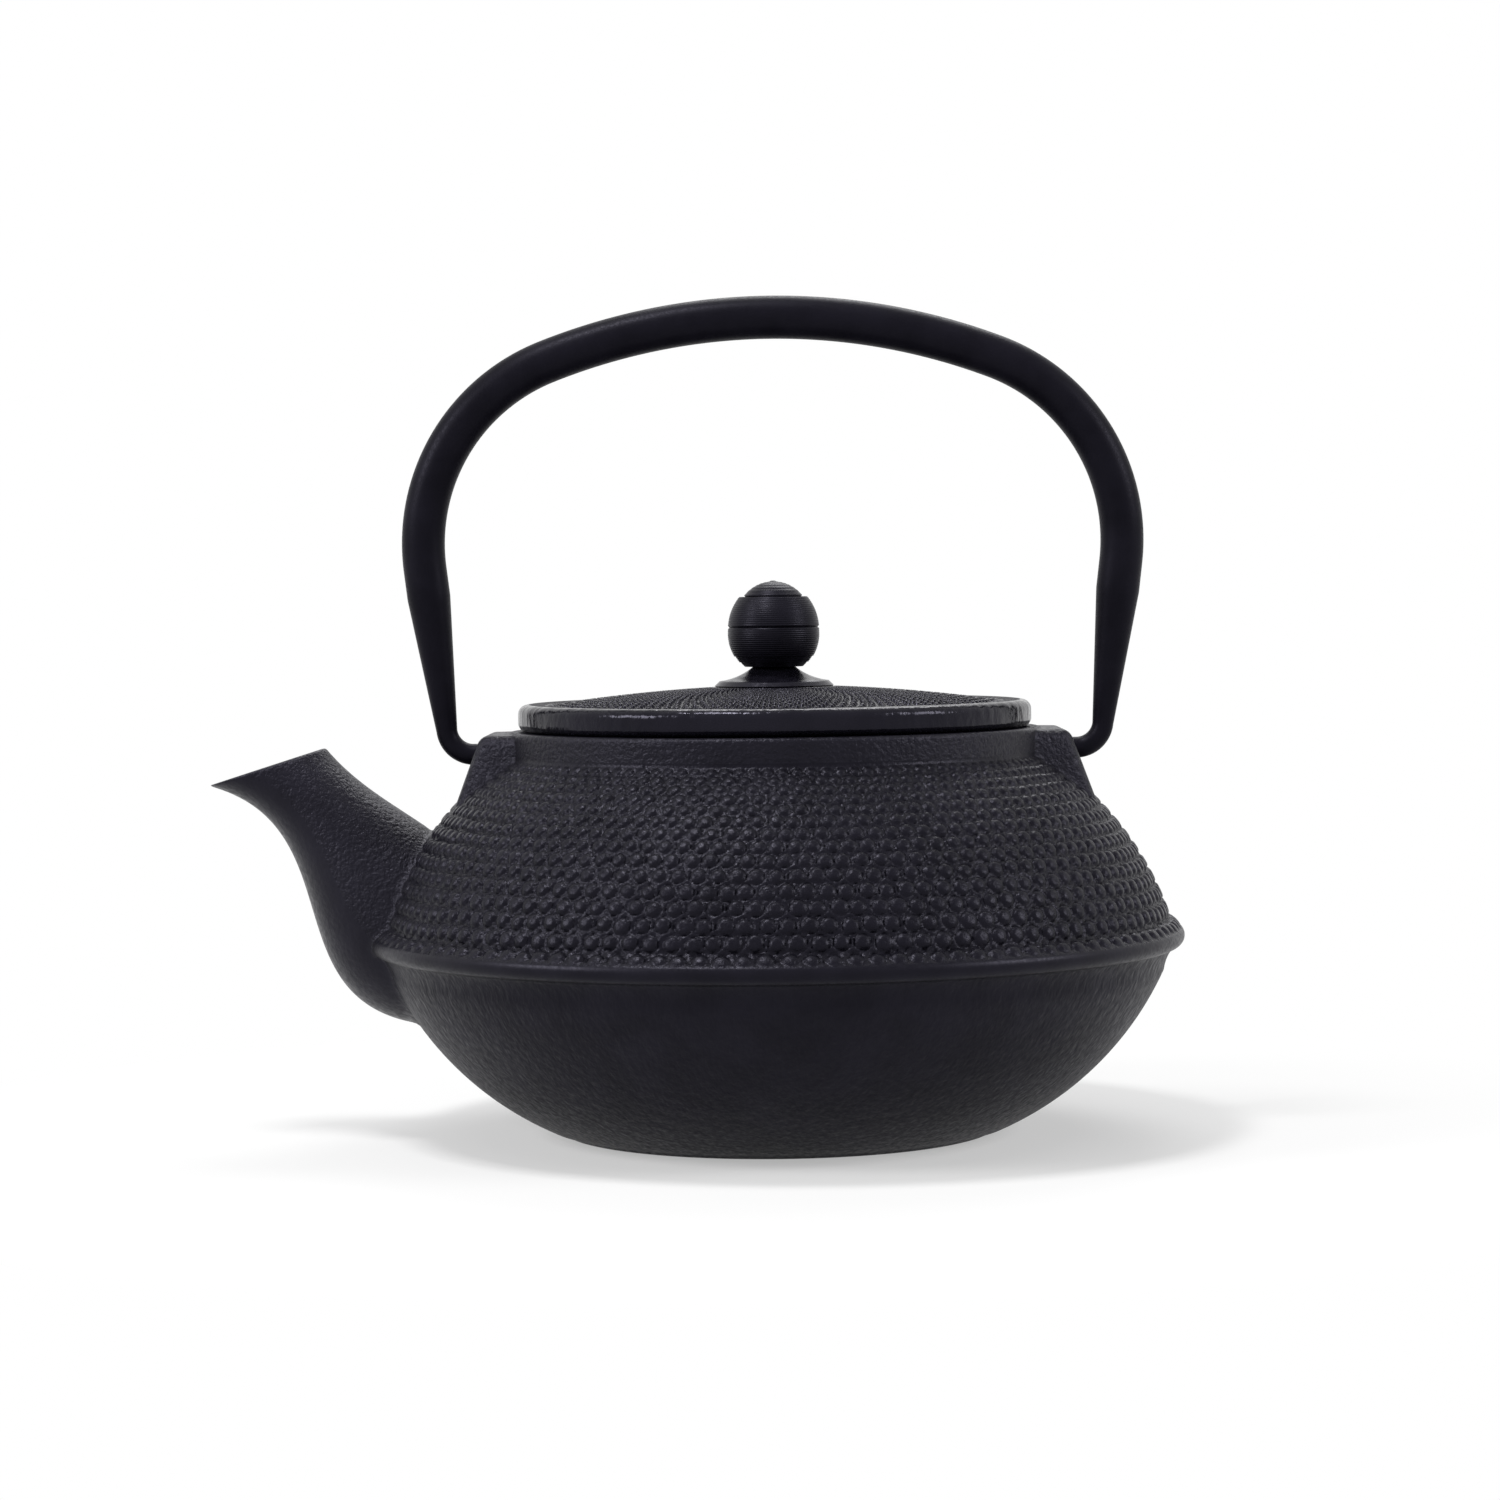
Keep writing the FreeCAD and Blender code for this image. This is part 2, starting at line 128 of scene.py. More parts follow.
# Fillets where spout and ears run into the pot: reach and rounds of smoothing
spout_fillet = (2.0, 12)
ear_fillet = (0.9, 5)

# Bail
tube_radius = 4.45
pin_radius = 2.2
hook_radius = 5.5
hook_end_reach = 61.8
pin_tip_reach = 55.4
leg_lean = math.radians(6.8)
leg_length = 33.4
taper_length = 27.5
corner_radius = 40.0
crown_radius = 127.6
bail_sides = 56

# Lid
lid_radius = 52.5
lid_seat = 82.5
lid_rim_top = 88.0
lid_rim_round = 1.9
lid_undercut = 1.5
lid_undercut_bulge = 0.3
lid_top = 91.1
lid_bulge = 0.35
lid_pad_radius = 12.6
lid_border = 5.6
lid_border_dip = 0.6
lid_border_bulge = 0.1
lid_underside = 87.7
lid_plate_edge = 85.6
lid_boss_radius = 9.0
skirt_radius = 44.1
skirt_bore = 41.6
skirt_foot = 76.5
skirt_round = 0.4

# Knob
bolt_hole = 2.15
seat_radius = 12.2
seat_edge = 1.2
seat_edge_round = 0.25
seat_chamfer = 1.0
seat_neck = 4.3
seat_hollow = 0.55
seat_sides = 128
ball_foot = 95.2
ball_foot_radius = 6.4
ball_radius = 9.35
ball_middle = 103.25
ball_groove = 0.3
ball_low_bulge = 1.0
ball_high_bulge = 0.5
ball_top = 109.5
ball_top_radius = 7.0
ball_top_edge = 0.6
ball_step_heights = [0.9, 2.1]
ball_step_depth = 0.22
ball_sides = 160
turning_pitch = 0.42
turning_depth = 0.05
cap_radius = 5.9
cap_edge = 0.5
cap_height = 3.3
cap_chamfer = 0.2
cap_dome_drop = 0.15
cap_point_radius = 0.7
cap_point_neck = 0.5
cap_point_end = 0.2
cap_point_rise = 0.05
bolt_core = 0.6
bolt_radius = 2.0
bolt_chamfer = 0.3
bolt_tip = 82.2
bolt_sides = 96

# Edges sharper than these angles, in degrees, stay sharp in the shading
cast_crease = 50
lid_crease = 60
turned_crease = 35

# Studio, in metres and watts: lamps as (name, place, size, power), and levels of floor and surroundings
lamps = [
    ("left_box", (-0.95, -0.4, 0.6), 0.4, 7),
    ("right_box", (0.95, -0.3, 0.55), 0.4, 5),
    ("back_box", (0.1, 0.65, 0.85), 0.5, 3.5),
    ("key_box", (-0.25, -0.2, 1.0), 0.22, 6)]
lamp_aim = (0, 0, 0.07)
floor_size = 8
floor_drop = 0.0002
floor_grey = (0.9, 0.9, 0.9, 1)
floor_roughness = 0.9
floor_fade_from = 0.06
floor_fade_to = 0.2
floor_glow_near = 0.42
world_light = 0.08


# Outline helpers, all in millimetres

def arc_points(start, end, bulge, count):
    """Points of an arc that stands out by the bulge, to the right of its direction."""
    start, end = np.array(start, float), np.array(end, float)
    chord = end - start
    half = np.linalg.norm(chord) / 2
    along = chord / (2 * half)
    right = np.array([along[1], -along[0]])
    radius = (half * half + bulge * bulge) / (2 * abs(bulge))
    towards = right * math.copysign(1, bulge)
    centre = (start + end) / 2 - towards * (radius - abs(bulge))
    opening = 2 * math.asin(min(half / radius, 1))
    angles = np.linspace(-opening / 2, opening / 2, count)
    return centre + radius * (np.outer(np.cos(angles), towards) + np.outer(np.sin(angles), along))


def circle_points(centre, radius, start, end, count):
    """Points of an arc about a centre, with angles in degrees from outwards to upwards."""
    angles = np.radians(np.linspace(start, end, count))
    return np.array(centre) + radius * np.stack([np.cos(angles), np.sin(angles)], 1)


def line_points(start, end, count):
    """Evenly spaced points from start to end."""
    return np.linspace(start, end, count)


def joined(*stretches):
    """One outline from several stretches, without doubled points."""
    points = np.concatenate([np.atleast_2d(np.array(s, float)) for s in stretches])
    keep = np.ones(len(points), bool)
    keep[1:] = np.linalg.norm(np.diff(points, axis=0), axis=1) > 1e-4
    return points[keep]


def evenly(points, count):
    """The same outline with its points set evenly along it."""
    lengths = np.concatenate([[0], np.cumsum(np.linalg.norm(np.diff(points, axis=0), axis=1))])
    places = np.linspace(0, lengths[-1], count)
    return np.stack([np.interp(places, lengths, points[:, i]) for i in range(2)], 1)


def arc_circle(start, end, bulge):
    """Centre and radius of a bulged arc's circle."""
    a, b, c = arc_points(start, end, bulge, count=3)
    system = 2 * np.array([b - a, c - a])
    centre = np.linalg.solve(system, [b @ b - a @ a, c @ c - a @ a])
    return centre, np.linalg.norm(centre - a)


# Mesh helpers

def make_piece(name, points, faces, materials, face_materials):
    """Smooth-shaded mesh object from points in millimetres."""
    mesh = bpy.data.meshes.new(name)
    mesh.from_pydata((np.asarray(points) * MM).tolist(), [], faces)
    for material in materials:
        mesh.materials.append(material)
    mesh.polygons.foreach_set("material_index", np.asarray(face_materials, np.int32))
    mesh.polygons.foreach_set("use_smooth", np.ones(len(mesh.polygons), bool))
    mesh.update()
    piece = bpy.data.objects.new(name, mesh)
    bpy.context.scene.collection.objects.link(piece)
    return piece


def plain_rings(points, segments):
    """Radii and heights of even rings about the axis, one for each point of an outline."""
    spread = np.ones((1, segments))
    return points[:, :1] * spread, points[:, 1:] * spread


def ring_grid(*stretches):
    """Points of rings about the axis, ring by ring, from stretches of their radii and heights."""
    radii, heights = [np.concatenate(values) for values in zip(*stretches)]
    angles = np.arange(radii.shape[1]) * TAU / radii.shape[1]
    return np.stack([radii * np.cos(angles), radii * np.sin(angles), heights], 2)


def grid_faces(rings, segments, closed):
    """Quads between neighbouring rings, and from the last ring to the first where closed."""
    pairs = [(i, i + 1) for i in range(rings - 1)]
    if closed:
        pairs.append((rings - 1, 0))
    column = np.arange(segments)
    following = (column + 1) % segments
    quads = [np.stack([a * segments + column, a * segments + following,
                       b * segments + following, b * segments + column], 1) for a, b in pairs]
    return np.concatenate(quads).tolist()


def turned_piece(name, outline, segments, materials, ring_material=None, capped=False):
    """Turned piece from an outline in (radius, height), closed on itself or capped at its ends."""
    return grid_piece(name, ring_grid(plain_rings(outline, segments)), materials, ring_material, capped)


def grid_piece(name, grid, materials, ring_material=None, capped=False):
    """Piece from rings of points, with the rings joined in a loop or closed by two caps."""
    rings, segments = grid.shape[:2]
    points = grid.reshape(-1, 3)
    faces = grid_faces(rings, segments, not capped)
    kinds = np.zeros(len(faces), int)
    if ring_material is not None:
        by_ring = np.reshape(ring_material, (len(ring_material), -1))
        per_face = np.broadcast_to(by_ring, (len(ring_material), segments))
        kinds[:] = per_face[:len(faces) // segments].ravel()
    if capped:
        first = len(points)
        points = np.concatenate([points, [grid[0].mean(0), grid[-1].mean(0)]])
        last_ring = (rings - 1) * segments
        for i in range(segments):
            following = (i + 1) % segments
            faces.append([first, following, i])
            faces.append([first + 1, last_ring + i, last_ring + following])
        kinds = np.concatenate([kinds, [kinds[0], kinds[-1]] * segments])
    piece = make_piece(name, points, faces, materials, kinds)
    face_outwards(piece)
    return piece


def face_outwards(piece):
    """Turns every face of a closed mesh outwards."""
    shape = bmesh.new()
    shape.from_mesh(piece.data)
    bmesh.ops.recalc_face_normals(shape, faces=shape.faces)
    if shape.calc_volume(signed=True) < 0:
        bmesh.ops.reverse_faces(shape, faces=shape.faces)
    shape.to_mesh(piece.data)
    shape.free()


def combine(piece, other, operation):
    """Adds or cuts another closed mesh, which is used up."""
    step = piece.modifiers.new(operation, "BOOLEAN")
    step.operation = operation
    step.solver = "MANIFOLD"
    step.object = other
    bpy.context.view_layer.update()
    graph = bpy.context.evaluated_depsgraph_get()
    result = bpy.data.meshes.new_from_object(piece.evaluated_get(graph))
    piece.modifiers.remove(step)
    old = piece.data
    piece.data = result
    bpy.data.meshes.remove(old)
    bpy.data.objects.remove(other)


def crease(piece, degrees):
    """Smooth shading that keeps edges sharper than the angle."""
    piece.data.polygons.foreach_set("use_smooth", np.ones(len(piece.data.polygons), bool))
    piece.data.set_sharp_from_angle(angle=math.radians(degrees))


# Materials

black = (0.0037, 0.0034, 0.0056)
grey_black = (0.0068, 0.0063, 0.0100)
enamel_dark = (0.006, 0.006, 0.007)
enamel_light = (0.01, 0.01, 0.012)
coat_tint = (0.8, 0.77, 1.0, 1.0)
# Noise is spread out between these two levels
noise_low = 0.35
noise_high = 0.65
# Sizes of colour patches and drawn lines and depth of the lines, in millimetres
iron_patch = 9
steel_patch = 12
steel_line = 0.5
steel_line_depth = 0.02
steel_line_strength = 0.4
steel_shade = 0.8
# How far the roughness goes below and above its middle
iron_gloss = (-0.07, 0.09)
steel_gloss = (-0.08, 0.1)


def nodes_of(name):
    """New material, its node tree, its main shader and a helper that adds nodes with set values."""
    material = bpy.data.materials.new(name)
    material.use_nodes = True
    tree = material.node_tree
    shader = tree.nodes["Principled BSDF"]

    def add(kind, **values):
        node = tree.nodes.new(kind)
        for key, value in values.items():
            if hasattr(node, key):
                setattr(node, key, value)
            else:
                node.inputs[key].default_value = value
        return node

    return material, tree, shader, add


def noise(tree, add, size, detail, stretch=(1, 1, 1)):
    """Noise in the object's own coordinates, with its size in millimetres."""
    place = add("ShaderNodeTexCoord")
    squeeze = add("ShaderNodeMapping", Scale=stretch)
    texture = add("ShaderNodeTexNoise", Scale=1 / (size * MM), Detail=detail)
    tree.links.new(place.outputs["Object"], squeeze.inputs["Vector"])
    tree.links.new(squeeze.outputs["Vector"], texture.inputs["Vector"])
    return texture.outputs["Fac"]


def ramp(tree, add, source, low, high):
    """Maps noise to a range of colours."""
    node = add("ShaderNodeValToRGB")
    ends = node.color_ramp.elements
    ends[0].position = noise_low
    ends[1].position = noise_high
    ends[0].color = (*low, 1)
    ends[1].color = (*high, 1)
    tree.links.new(source, node.inputs["Fac"])
    return node.outputs["Color"]


def roughness_range(rough, gloss):
    """Lowest and highest roughness as greys."""
    return [(rough + step,) * 3 for step in gloss]


def coated_iron(name, rough, grain_size, grain_depth, specular, stretch=(1, 1, 1), coarse_size=2.6,
                coarse_depth=0.0, dark=black, light=grey_black):
    """Black coating on metal: mottled colour, uneven gloss and a cast grain with sizes in millimetres."""
    material, tree, shader, add = nodes_of(name)
    cloud = noise(tree, add, iron_patch, detail=4)
    grain = noise(tree, add, grain_size, detail=3, stretch=stretch)
    coarse = noise(tree, add, coarse_size, detail=2, stretch=stretch)
    low, high = roughness_range(rough, iron_gloss)
    tree.links.new(ramp(tree, add, cloud, dark, light), shader.inputs["Base Color"])
    tree.links.new(ramp(tree, add, grain, low, high), shader.inputs["Roughness"])
    shader.inputs["Specular IOR Level"].default_value = specular
    shader.inputs["Specular Tint"].default_value = coat_tint
    fine = add("ShaderNodeBump", Strength=1.0, Distance=grain_depth * MM)
    wide = add("ShaderNodeBump", Strength=1.0, Distance=coarse_depth * MM)
    tree.links.new(coarse, wide.inputs["Height"])
    tree.links.new(grain, fine.inputs["Height"])
    tree.links.new(wide.outputs["Normal"], fine.inputs["Normal"])
    tree.links.new(fine.outputs["Normal"], shader.inputs["Normal"])
    return material


def steel(name, colour, rough, stretch):
    """Bright sheet or turned steel with fine drawn lines."""
    material, tree, shader, add = nodes_of(name)
    lines = noise(tree, add, steel_line, detail=2, stretch=stretch)
    cloud = noise(tree, add, steel_patch, detail=3)
    shade = [level * steel_shade for level in colour]
    low, high = roughness_range(rough, steel_gloss)
    tree.links.new(ramp(tree, add, cloud, shade, colour), shader.inputs["Base Color"])
    tree.links.new(ramp(tree, add, lines, low, high), shader.inputs["Roughness"])
    shader.inputs["Metallic"].default_value = 1.0
    bump = add("ShaderNodeBump", Strength=steel_line_strength, Distance=steel_line_depth * MM)
    tree.links.new(lines, bump.inputs["Height"])
    tree.links.new(bump.outputs["Normal"], shader.inputs["Normal"])
    return material


bowl_iron = coated_iron("bowl_iron", rough=0.46, grain_size=0.9, grain_depth=0.12, specular=0.13,
                        stretch=(1, 1, 0.4), coarse_size=2.0, coarse_depth=0.22)
rib_iron = coated_iron("rib_iron", rough=0.36, grain_size=0.7, grain_depth=0.03, specular=0.14)
nail_iron = coated_iron("nail_iron", rough=0.32, grain_size=0.6, grain_depth=0.12, specular=0.13)
sandy_iron = coated_iron("sandy_iron", rough=0.38, grain_size=0.85, grain_depth=0.36, specular=0.18)
satin_iron = coated_iron("satin_iron", rough=0.36, grain_size=1.1, grain_depth=0.1, specular=0.2)
enamel = coated_iron("enamel", rough=0.22, grain_size=1.4, grain_depth=0.01, specular=0.4,
                     dark=enamel_dark, light=enamel_light)
rim_iron = coated_iron("rim_iron", rough=0.15, grain_size=2.6, grain_depth=0.3, specular=0.17,
                       stretch=(1, 1, 0.6))
border_iron = coated_iron("border_iron", rough=0.5, grain_size=1.2, grain_depth=0.15, specular=0.06)
lid_nail_iron = coated_iron("lid_nail_iron", rough=0.24, grain_size=0.6, grain_depth=0.08, specular=0.14)
bail_paint = coated_iron("bail_paint", rough=0.4, grain_size=0.45, grain_depth=0.016, specular=0.07)
knob_paint = coated_iron("knob_paint", rough=0.36, grain_size=0.5, grain_depth=0.02, specular=0.12,
                         stretch=(0.25, 0.25, 3))
seat_paint = coated_iron("seat_paint", rough=0.24, grain_size=1.8, grain_depth=0.06, specular=0.22)
bright_steel = steel("bright_steel", colour=(0.58, 0.58, 0.6), rough=0.26, stretch=(1, 1, 0.08))
nut_steel = steel("nut_steel", colour=(0.45, 0.45, 0.46), rough=0.34, stretch=(1, 1, 3))

casting_materials = [bowl_iron, rib_iron, nail_iron, sandy_iron, satin_iron, enamel]
BOWL, RIB, NAILS, SANDY, SATIN, ENAMEL = range(len(casting_materials))
lid_materials = [rim_iron, border_iron, lid_nail_iron, enamel]
LID_RIM, LID_BORDER, LID_NAILS, LID_INSIDE = range(len(lid_materials))


# Hobnails

def nail_field(turns, rows, aspect, nails):
    """Height from 0 to 1 of staggered, slightly uneven nails over places counted in nails and in rows."""
    per_row, row_count = nails["per_row"], nails["rows"]
    sway = nail_sway * (rng.random((row_count, per_row, 2)) - 0.5)
    size = 1 + nail_unevenness * (rng.random((row_count, per_row)) - 0.5)
    nearest = np.full(np.broadcast(turns, rows).shape, nail_steps[-1], float)
    for step in (-1, 0, 1):
        row = np.floor(rows).astype(int) + step
        there = np.clip(row, 0, row_count - 1)
        shifted = turns - 0.5 * (row % 2)
        cell = np.floor(shifted).astype(int)
        nail = cell % per_row
        across = (shifted - cell - 0.5 + sway[there, nail, 0]) * TAU / per_row
        along = (rows - row - 0.5 + sway[there, nail, 1]) * aspect
        away = np.hypot(across, along) / (nails["reach"] * size[there, nail])
        nearest = np.where(row == there, np.minimum(nearest, away), nearest)
    return np.interp(nearest, nail_steps, nails["heights"])


def row_places(points, rows):
    """Place of each outline point counted in rows, which widen with the radius, and the row's share."""
    lengths = np.linalg.norm(np.diff(points, axis=0), axis=1)
    radii = (points[1:, 0] + points[:-1, 0]) / 2
    places = np.concatenate([[0], np.cumsum(lengths / radii)])
    return places * rows / places[-1], places[-1] / rows


def outline_normals(points):
    """Unit normals of an outline, to the right of its direction."""
    tangent = np.gradient(points, axis=0)
    tangent /= np.linalg.norm(tangent, axis=1)[:, None]
    return np.stack([tangent[:, 1], -tangent[:, 0]], 1)


def nailed_rings(points, nails):
    """Radii and heights of rings that carry hobnails whose tops lie on the outline."""
    segments = nails["per_row"] * nails["samples"]
    places, aspect = row_places(points, nails["rows"])
    turns = np.arange(segments) * nails["per_row"] / segments
    field = nail_field(turns[None, :], places[:, None], aspect, nails)
    fade = np.clip(np.minimum(places, nails["rows"] - places) / nail_edge_fade, 0, 1)
    sink = (field - 1) * (nails["rise"] * points[:, 0] * fade)[:, None]
    normals = outline_normals(points)
    return points[:, :1] + normals[:, :1] * sink, points[:, 1:] + normals[:, 1:] * sink


# Casting

def casting_block():
    """Bowl, rib, nailed shoulder and neck as one closed block."""
    base_edge = base_radius - base_edge_run
    bowl_edge = (base_radius + base_edge_run, base_edge_rise)
    lower = joined(line_points((block_core, 0), (base_edge, 0), count=8),
                   arc_points((base_edge, 0), bowl_edge, base_edge_bulge, count=5),
                   arc_points((base_radius, 0), bowl_top, bowl_bulge, count=28)[2:])
    rib_middle = (rib_radius - box_margin - rib_round, rib_height)
    flare = arc_points(bowl_top, (rib_middle[0], rib_height - rib_round), -rib_flare, count=8)
    rib = circle_points(rib_middle, rib_round, -90, rib_top_turn, count=16)
    slope = arc_points(shoulder_start, (neck_radius, shoulder_top), shoulder_bulge, count=400)
    slope = slope[slope[:, 1] > foot_row_top]
    foot_row = arc_points(rib[-1], slope[0], foot_row_bulge, count=20)
    nails = shoulder_nails
    shoulder = evenly(joined(foot_row, slope), nails["rows"] * nails["row_samples"] + 1)
    neck_edge = (neck_radius - neck_edge_round, pot_height - neck_edge_round)
    neck = joined(line_points((neck_radius, shoulder_top), (neck_radius, neck_edge[1]), count=8),
                  circle_points(neck_edge, neck_edge_round, 0, 90, count=6),
                  line_points((neck_edge[0], pot_height), (block_top_core, pot_height), count=3))
    plain = joined(lower, flare, rib)
    nailed = nailed_rings(shoulder, nails)
    segments = nailed[0].shape[1]
    grid = ring_grid(plain_rings(plain, segments), nailed, plain_rings(neck[1:], segments))
    kinds = np.repeat([BOWL, RIB, NAILS, SANDY],
                      [len(plain) - len(rib), len(rib), len(shoulder), len(neck)])
    return grid_piece("casting", grid, casting_materials, kinds, capped=True)


def inner_side(heights, start, end, bulge):
    """Radii at these heights of a bulged arc that is moved in by the wall."""
    centre, radius = arc_circle(start, end, bulge)
    return centre[0] + np.sqrt(np.clip((radius - wall) ** 2 - (heights - centre[1]) ** 2, 0, None))


def hollow_block():
    """Inside of the pot with its throat and ledge, as a tool that cuts."""
    heights = np.linspace(floor_height, ledge_height, 200)[::4]
    below = inner_side(heights, (base_radius, 0), bowl_top, bowl_bulge)
    above = inner_side(heights, shoulder_start, (neck_radius, shoulder_top), shoulder_bulge)
    side = np.maximum(np.minimum(below, above), throat_radius)
    floor_edge = (side[0] - floor_edge_run, floor_height)
    mouth = pot_height + tool_overrun
    outline = joined(
        line_points((tool_core, floor_height), floor_edge, count=5),
        np.stack([side, heights], 1),
        [(throat_radius, ledge_height), (ledge_radius, ledge_height)],
        [(ledge_radius, mouth), (tool_core, mouth)])
    kinds = np.full(len(outline), ENAMEL)
    return turned_piece("hollow", outline, tool_sides, casting_materials, kinds, capped=True)


def spout_grid(places, insets):
    """Rings of points along the spout, each drawn in by an inset."""
    rings = []
    turns = np.arange(spout_sides) * TAU / spout_sides
    for t, inset in zip(places, insets):
        s = 1 - t
        weights = (s ** 3, 3 * s * s * t, 3 * s * t * t, t ** 3)
        under = sum(w * np.array(oval[0]) for w, oval in zip(weights, spout_ovals))
        over = sum(w * np.array(oval[1]) for w, oval in zip(weights, spout_ovals))
        across = sum(w * oval[2] for w, oval in zip(weights, spout_ovals)) - inset
        tall = (over - under) / 2
        tall = tall * (1 - inset / np.linalg.norm(tall))
        middle = (under + over) / 2
        x = middle[0] + tall[0] * np.sin(turns)
        z = middle[1] + tall[1] * np.sin(turns)
        rings.append(np.stack([x, across * np.cos(turns), z], 1))
    return np.array(rings)


def lip_insets(places):
    """How far the rounded lip draws the spout's wall in at each place."""
    late = np.clip((places - spout_lip_from) / (1 - spout_lip_from), 0, 1)
    return spout_lip_round * (1 - np.sqrt(1 - late ** 2))


def spout_block():
    """Outside of the spout with a softly rounded lip."""
    upper = np.sin(np.arange(spout_sides) * TAU / spout_sides) > spout_sandy_from
    kinds = np.tile(np.where(upper, SANDY, SATIN), (len(spout_places), 1))
    grid = spout_grid(spout_places, lip_insets(spout_places))
    return grid_piece("spout", grid, casting_materials, kinds, capped=True)


def spout_channel():
    """Bore of the spout, run out through its mouth."""
    grid = spout_grid(channel_places, spout_wall - lip_insets(channel_places))
    tip, lip = [np.array(point) for point in spout_ovals[-1][:2]]
    chord = (lip - tip) / np.linalg.norm(lip - tip)
    beyond = grid[-1] + np.array([-chord[1], 0, chord[0]]) * spout_wall
    grid = np.concatenate([grid, beyond[None]])
    return grid_piece("channel", grid, casting_materials, np.full(len(grid), ENAMEL), capped=True)


def ear_block(side):
    """Lug on one side of the neck with rounded outer edges."""
    shape = bmesh.new()
    levels = []
    for height, reach in ((ear_foot, ear_foot_reach), (ear_top, ear_top_reach)):
        plan = [(ear_root, -ear_root_half_width), (reach, -ear_face_half_width),
                (reach, ear_face_half_width), (ear_root, ear_root_half_width)]
        levels.append([shape.verts.new((x * MM * side, y * MM, height * MM)) for x, y in plan])
    foot, top = levels
    shape.faces.new(foot)
    shape.faces.new(top)
    for i, following in ((0, 1), (1, 2), (2, 3), (3, 0)):
        shape.faces.new((foot[i], foot[following], top[following], top[i]))
    outer = [e for e in shape.edges
             if sum(v.co.x * side for v in e.verts) / 2 > (ear_root + ear_plain_root) * MM
             and max(v.co.z for v in e.verts) > (ear_foot + ear_plain_foot) * MM]
    bmesh.ops.bevel(shape, geom=outer, offset=ear_round * MM, segments=5, profile=0.5, affect="EDGES")
    bmesh.ops.subdivide_edges(shape, edges=shape.edges, cuts=6, use_grid_fill=True)
    bmesh.ops.triangulate(shape, faces=[f for f in shape.faces if len(f.verts) > 4])
    bmesh.ops.recalc_face_normals(shape, faces=shape.faces)
    mesh = bpy.data.meshes.new("ear")
    shape.to_mesh(mesh)
    shape.free()
    for material in casting_materials:
        mesh.materials.append(material)
    mesh.polygons.foreach_set("material_index", np.full(len(mesh.polygons), SANDY, np.int32))
    ear = bpy.data.objects.new("ear", mesh)
    bpy.context.scene.collection.objects.link(ear)
    return ear


def ear_bore(side):
    """Blind hole for the bail's pin."""
    slant = (ear_foot_reach - ear_top_reach) / (ear_top - ear_foot)
    face = ear_top_reach + slant * (ear_top - pivot_height)
    angles = np.arange(ear_bore_sides) * TAU / ear_bore_sides
    y = ear_bore_radius * np.cos(angles)
    z = pivot_height + ear_bore_radius * np.sin(angles)
    ends = (face - ear_bore_depth, face + ear_bore_depth)
    grid = np.array([np.stack([np.full(ear_bore_sides, side * x), y, z], 1) for x in ends])
    return grid_piece("bore", grid, casting_materials, np.full(len(grid), SANDY), capped=True)


def crossing_points(piece, other):
    """Points where one mesh's edges pass through another, so along the line where the two meet."""
    skin = BVHTree.FromObject(piece, bpy.context.evaluated_depsgraph_get())
    points = other.data.vertices
    found = []
    for edge in other.data.edges:
        a, b = (points[i].co for i in edge.vertices)
        way = b - a
        hit = skin.ray_cast(a, way.normalized(), way.length)
        if hit[0] is not None:
            found.append(hit[0].copy())
    return found


def soften_join(piece, join, reach, rounds):
    """Smooths the casting along the line where an added form meets it, which leaves a small fillet."""
    shape = bmesh.new()
    shape.from_mesh(piece.data)
    tree = KDTree(len(join))
    for i, point in enumerate(join):
        tree.insert(point, i)
    tree.balance()
    near = [v for v in shape.verts if tree.find(v.co)[2] < reach * MM]
    for _ in range(rounds):
        bmesh.ops.smooth_vert(shape, verts=near, factor=0.5, use_axis_x=True, use_axis_y=True,
                              use_axis_z=True)
    shape.to_mesh(piece.data)
    shape.free()


def build_casting():
    """The casting with spout and ears, hollowed, on the pot's body."""
    casting = casting_block()
    joins = []
    for form in (spout_block(), ear_block(1), ear_block(-1)):
        joins.append(crossing_points(casting, form))
        combine(casting, form, "UNION")
    soften_join(casting, joins[0], *spout_fillet)
    soften_join(casting, joins[1] + joins[2], *ear_fillet)
    for tool in (hollow_block(), spout_channel(), ear_bore(1), ear_bore(-1)):
        combine(casting, tool, "DIFFERENCE")
    crease(casting, cast_crease)
    return casting


# Bail

def bail_path():
    """Middle line of the bail from its crown to one pin's tip, with the radius at each point."""
    along = np.array([math.sin(leg_lean), math.cos(leg_lean)])
    side = np.array([math.cos(leg_lean), -math.sin(leg_lean)])
    hook_centre = np.array([hook_end_reach, pivot_height + hook_radius])
    foot = hook_centre + side * hook_radius
    waist = foot + along * taper_length
    head = foot + along * leg_length
    corner = head - side * corner_radius
    rise = math.sqrt((crown_radius - corner_radius) ** 2 - corner[0] ** 2)
    crown = np.array([0, corner[1] - rise])
    turn = math.degrees(math.atan2(corner[1] - crown[1], corner[0] - crown[0]))
    lean = math.degrees(leg_lean)
    arch = joined(circle_points(crown, crown_radius, 90, turn, count=40),
                  circle_points(corner, corner_radius, turn, -lean, count=50),
                  line_points(head, waist, count=6))
    taper = line_points(waist, foot, count=24)[1:]
    drawn = np.linspace(tube_radius, pin_radius, 24)[1:]
    hook = joined(circle_points(hook_centre, hook_radius, -lean, -90, count=20)[1:],
                  line_points((hook_end_reach, pivot_height), (pin_tip_reach, pivot_height), count=6)[1:])
    radii = np.concatenate([np.full(len(arch), tube_radius), drawn, np.full(len(hook), pin_radius)])
    return np.concatenate([arch, taper, hook]), radii - box_margin


